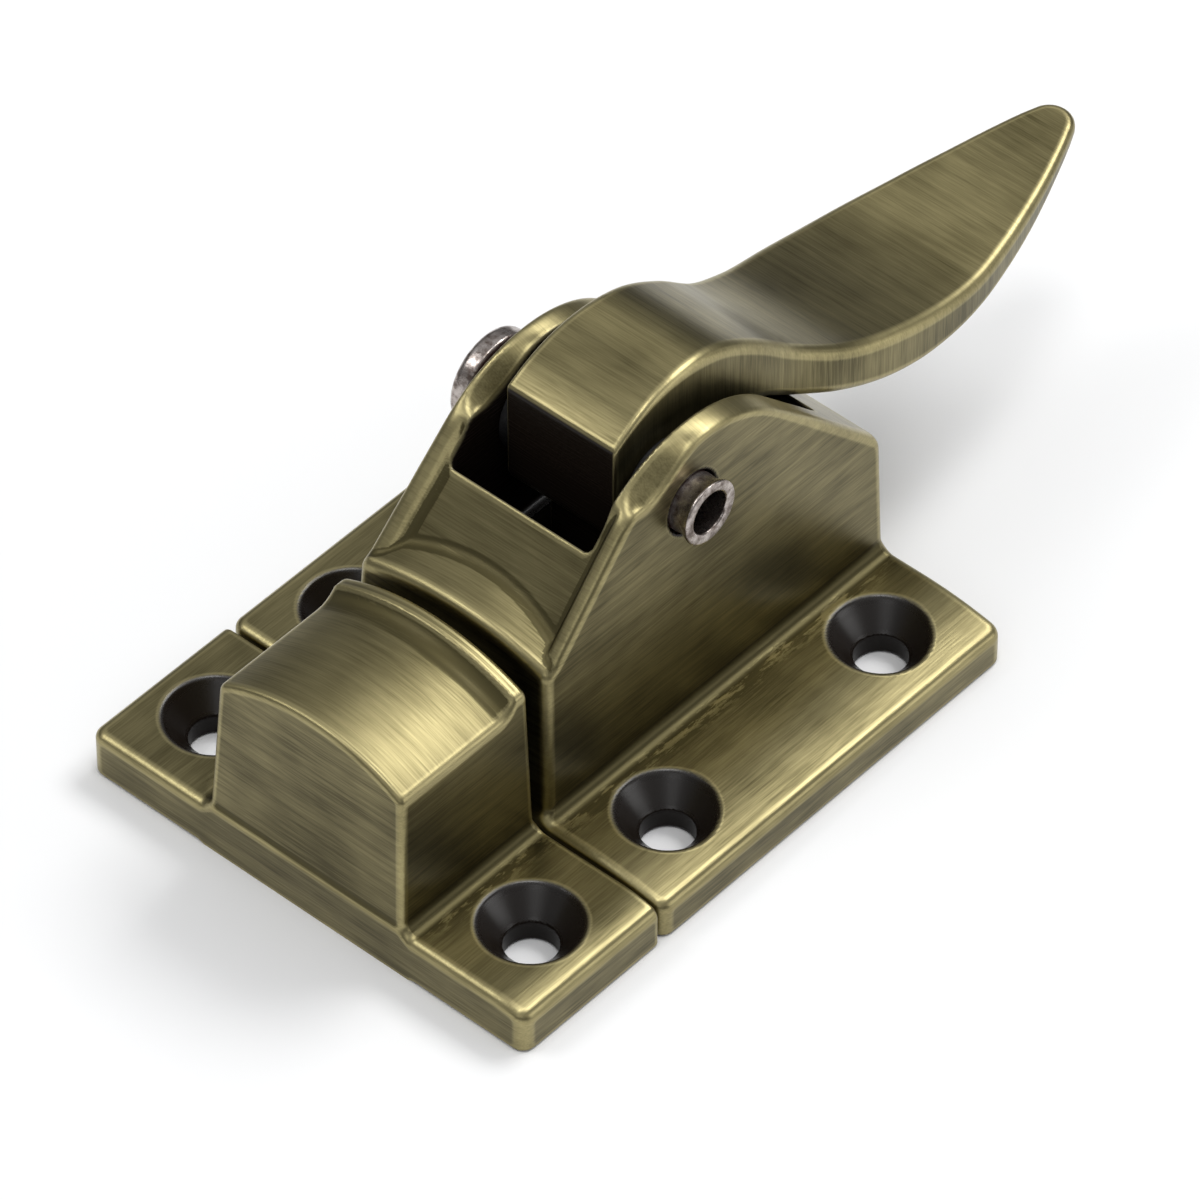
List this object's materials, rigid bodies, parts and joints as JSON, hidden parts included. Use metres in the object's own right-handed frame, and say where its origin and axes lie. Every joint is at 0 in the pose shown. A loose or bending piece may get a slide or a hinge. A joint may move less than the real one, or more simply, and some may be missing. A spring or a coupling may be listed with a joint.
{
  "type": "cabinet latch",
  "caption": "Surface-mounted cabinet latch with a leaf-shaped lever that draws back a sprung bolt, and a separate hooded strike plate for the bolt.",
  "frame": {"origin": "middle of the four screw holes of the latch plate, on the face that lies on the door", "axes": "+Z away from the door, +Y along the latch from the strike towards the tip of the lever, +X across the latch"},
  "size_m": [0.042, 0.0835, 0.0313],
  "materials": {
    "antique_brass": "brushed antique brass with dark patina in the corners",
    "bare_brass": "plain machined brass",
    "rivet_steel": "plain rolled steel",
    "dark_steel": "darkened sheet steel",
    "spring_steel": "drawn spring wire"
  },
  "bodies": {
    "base": {"latch_body": "antique_brass", "strike": "antique_brass", "pivot_rivet": "rivet_steel", "spacer_washers": "dark_steel", "bolt_spring": "spring_steel", "back_plate": "dark_steel", "plate_screws": "rivet_steel"},
    "lever": {"lever": "antique_brass"},
    "bolt": {"bolt": "bare_brass"}
  },
  "joints": [
    {"name": "lever_pivot", "type": "hinge", "parent": "base", "child": "lever", "pos_m": [0, -0.00175, 0.0232], "axis": [1, 0, 0], "range_deg": [0, 30], "stiffness_Nm_per_rad": 0.072, "springref_deg": -25.78},
    {"name": "bolt_slide", "type": "slide", "parent": "base", "child": "bolt", "axis": [0, 1, 0], "range_m": [0, 0.00702], "deforming": ["bolt_spring"]}
  ],
  "couplings": [
    {"joint": "bolt_slide", "follows": "lever_pivot", "m_per_rad": 0.0134}
  ]
}
